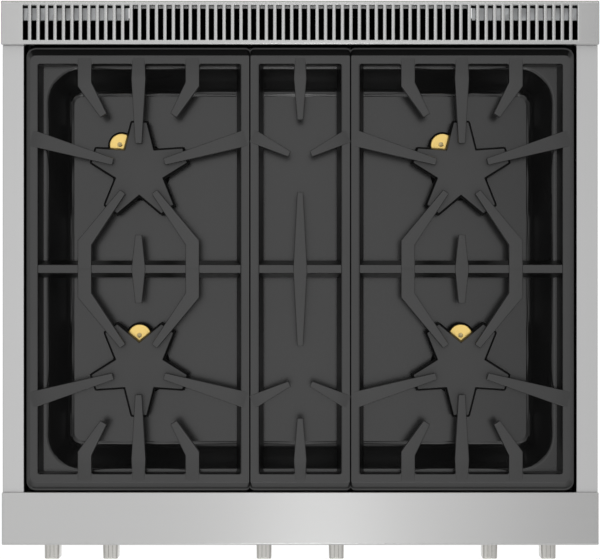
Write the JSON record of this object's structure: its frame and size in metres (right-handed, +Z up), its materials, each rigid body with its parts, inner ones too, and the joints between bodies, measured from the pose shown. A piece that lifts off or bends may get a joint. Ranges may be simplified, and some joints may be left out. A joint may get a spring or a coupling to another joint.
{
  "type": "gas range",
  "caption": "Free-standing gas range: star burners under cast-iron grates, rear vent trim, front ledge, knobs, and a gas oven with a drop-down door and sliding racks.",
  "frame": {"origin": "on the floor, at the middle of the range's footprint, knobs included", "axes": "+Z up, +Y towards the back, +X to the right seen from the front"},
  "size_m": [0.76, 0.7144, 0.922],
  "materials": {
    "stainless": "brushed",
    "galvanised": "satin",
    "black_enamel": "gloss",
    "oven_enamel": "gloss",
    "burner_black": "matte",
    "star_iron": "matte",
    "grate_iron": "matte",
    "brass": "satin",
    "electrode_ceramic": "satin",
    "gas_pipe": "satin",
    "aluminised": "satin",
    "black_plastic": "matte",
    "black_rubber": "matte",
    "knob_steel": "satin",
    "stem_steel": "satin",
    "insulation_wool": "matte",
    "rack_chrome": "polished",
    "seal_cord": "matte",
    "window_glass": "gloss",
    "foot_steel": "satin"
  },
  "bodies": {
    "root": {"chassis_frame": "galvanised", "side_panel_left": "stainless", "side_panel_right": "stainless", "back_panel": "galvanised", "kick_panel": "stainless", "control_panel": "stainless", "landing_ledge": "stainless", "side_trim_left": "stainless", "side_trim_right": "stainless", "vent_trim": "stainless", "flue_box": "galvanised", "spill_pan": "black_enamel", "burner_heads": "burner_black", "igniter_cups": "brass", "igniter_electrodes": "electrode_ceramic", "gas_manifold": "gas_pipe", "gas_regulator": "gas_pipe", "burner_valves": "brass", "oven_controls": "gas_pipe", "burner_tubes": "aluminised", "spark_module": "black_plastic", "cord_bushing": "black_rubber", "knob_bezels": "knob_steel", "oven_liner": "oven_enamel", "oven_insulation": "insulation_wool", "rack_guides": "rack_chrome", "bake_burner": "aluminised", "broil_burner": "aluminised", "door_gasket": "seal_cord"},
    "cap_rear_left": {"burner_cap_rear_left": "star_iron"},
    "cap_rear_right": {"burner_cap_rear_right": "star_iron"},
    "cap_front_left": {"burner_cap_front_left": "star_iron"},
    "cap_front_right": {"burner_cap_front_right": "star_iron"},
    "grate_left": {"grate_left": "grate_iron"},
    "grate_centre": {"grate_centre": "grate_iron"},
    "grate_right": {"grate_right": "grate_iron"},
    "stem_1": {"stem_1": "stem_steel"},
    "knob_1": {"knob_1": "knob_steel"},
    "stem_2": {"stem_2": "stem_steel"},
    "knob_2": {"knob_2": "knob_steel"},
    "stem_3": {"stem_3": "stem_steel"},
    "knob_3": {"knob_3": "knob_steel"},
    "stem_4": {"stem_4": "stem_steel"},
    "knob_4": {"knob_4": "knob_steel"},
    "stem_5": {"stem_5": "stem_steel"},
    "knob_5": {"knob_5": "knob_steel"},
    "stem_6": {"stem_6": "stem_steel"},
    "knob_6": {"knob_6": "knob_steel"},
    "door": {"door_outer_panel": "stainless", "door_inner_panel": "oven_enamel", "door_glass": "window_glass", "door_handle_bar": "stainless", "door_handle_posts": "stainless", "door_hinges": "galvanised"},
    "rack_lower": {"oven_rack_lower": "rack_chrome"},
    "rack_upper": {"oven_rack_upper": "rack_chrome"},
    "foot_1": {"levelling_foot_1": "foot_steel"},
    "foot_2": {"levelling_foot_2": "foot_steel"},
    "foot_3": {"levelling_foot_3": "foot_steel"},
    "foot_4": {"levelling_foot_4": "foot_steel"}
  },
  "joints": [
    {"name": "cap_rear_left_lift", "type": "slide", "parent": "root", "child": "cap_rear_left", "axis": [0, 0, 1], "range_m": [0, 0.005]},
    {"name": "cap_rear_right_lift", "type": "slide", "parent": "root", "child": "cap_rear_right", "axis": [0, 0, 1], "range_m": [0, 0.005]},
    {"name": "cap_front_left_lift", "type": "slide", "parent": "root", "child": "cap_front_left", "axis": [0, 0, 1], "range_m": [0, 0.005]},
    {"name": "cap_front_right_lift", "type": "slide", "parent": "root", "child": "cap_front_right", "axis": [0, 0, 1], "range_m": [0, 0.005]},
    {"name": "grate_left_lift", "type": "slide", "parent": "root", "child": "grate_left", "axis": [0, 0, 1], "range_m": [0, 0.15]},
    {"name": "grate_centre_lift", "type": "slide", "parent": "root", "child": "grate_centre", "axis": [0, 0, 1], "range_m": [0, 0.15]},
    {"name": "grate_right_lift", "type": "slide", "parent": "root", "child": "grate_right", "axis": [0, 0, 1], "range_m": [0, 0.15]},
    {"name": "knob_1_push", "type": "slide", "parent": "root", "child": "stem_1", "axis": [0, 1, 0], "range_m": [0, 0.003], "stiffness_N_per_m": 900, "springref_m": -0.002},
    {"name": "knob_1_turn", "type": "hinge", "parent": "stem_1", "child": "knob_1", "pos_m": [-0.32, -0.3202, 0.819], "axis": [0, -1, 0], "range_deg": [0, 270]},
    {"name": "knob_2_push", "type": "slide", "parent": "root", "child": "stem_2", "axis": [0, 1, 0], "range_m": [0, 0.003], "stiffness_N_per_m": 900, "springref_m": -0.002},
    {"name": "knob_2_turn", "type": "hinge", "parent": "stem_2", "child": "knob_2", "pos_m": [-0.2445, -0.3202, 0.819], "axis": [0, -1, 0], "range_deg": [0, 270]},
    {"name": "knob_3_push", "type": "slide", "parent": "root", "child": "stem_3", "axis": [0, 1, 0], "range_m": [0, 0.003], "stiffness_N_per_m": 900, "springref_m": -0.002},
    {"name": "knob_3_turn", "type": "hinge", "parent": "stem_3", "child": "knob_3", "pos_m": [-0.0467, -0.3202, 0.819], "axis": [0, -1, 0], "range_deg": [0, 280]},
    {"name": "knob_4_push", "type": "slide", "parent": "root", "child": "stem_4", "axis": [0, 1, 0], "range_m": [0, 0.003], "stiffness_N_per_m": 900, "springref_m": -0.002},
    {"name": "knob_4_turn", "type": "hinge", "parent": "stem_4", "child": "knob_4", "pos_m": [0.0467, -0.3202, 0.819], "axis": [0, -1, 0], "range_deg": [0, 225]},
    {"name": "knob_5_push", "type": "slide", "parent": "root", "child": "stem_5", "axis": [0, 1, 0], "range_m": [0, 0.003], "stiffness_N_per_m": 900, "springref_m": -0.002},
    {"name": "knob_5_turn", "type": "hinge", "parent": "stem_5", "child": "knob_5", "pos_m": [0.2445, -0.3202, 0.819], "axis": [0, -1, 0], "range_deg": [0, 270]},
    {"name": "knob_6_push", "type": "slide", "parent": "root", "child": "stem_6", "axis": [0, 1, 0], "range_m": [0, 0.003], "stiffness_N_per_m": 900, "springref_m": -0.002},
    {"name": "knob_6_turn", "type": "hinge", "parent": "stem_6", "child": "knob_6", "pos_m": [0.32, -0.3202, 0.819], "axis": [0, -1, 0], "range_deg": [0, 270]},
    {"name": "door_swing", "type": "hinge", "parent": "root", "child": "door", "pos_m": [0, -0.2566, 0.126], "axis": [1, 0, 0], "range_deg": [0, 90], "stiffness_Nm_per_rad": 25, "springref_deg": -20.05},
    {"name": "rack_lower_slide", "type": "slide", "parent": "root", "child": "rack_lower", "axis": [0, -1, 0], "range_m": [0, 0.3]},
    {"name": "rack_upper_slide", "type": "slide", "parent": "root", "child": "rack_upper", "axis": [0, -1, 0], "range_m": [0, 0.3]},
    {"name": "foot_1_screw", "type": "slide", "parent": "root", "child": "foot_1", "axis": [0, 0, -1], "range_m": [0, 0.03]},
    {"name": "foot_2_screw", "type": "slide", "parent": "root", "child": "foot_2", "axis": [0, 0, -1], "range_m": [0, 0.03]},
    {"name": "foot_3_screw", "type": "slide", "parent": "root", "child": "foot_3", "axis": [0, 0, -1], "range_m": [0, 0.03]},
    {"name": "foot_4_screw", "type": "slide", "parent": "root", "child": "foot_4", "axis": [0, 0, -1], "range_m": [0, 0.03]}
  ],
  "couplings": [
    {"joint": "rack_lower_slide", "follows": "door_swing", "m_per_rad": 0.19},
    {"joint": "rack_upper_slide", "follows": "door_swing", "m_per_rad": 0.19}
  ]
}
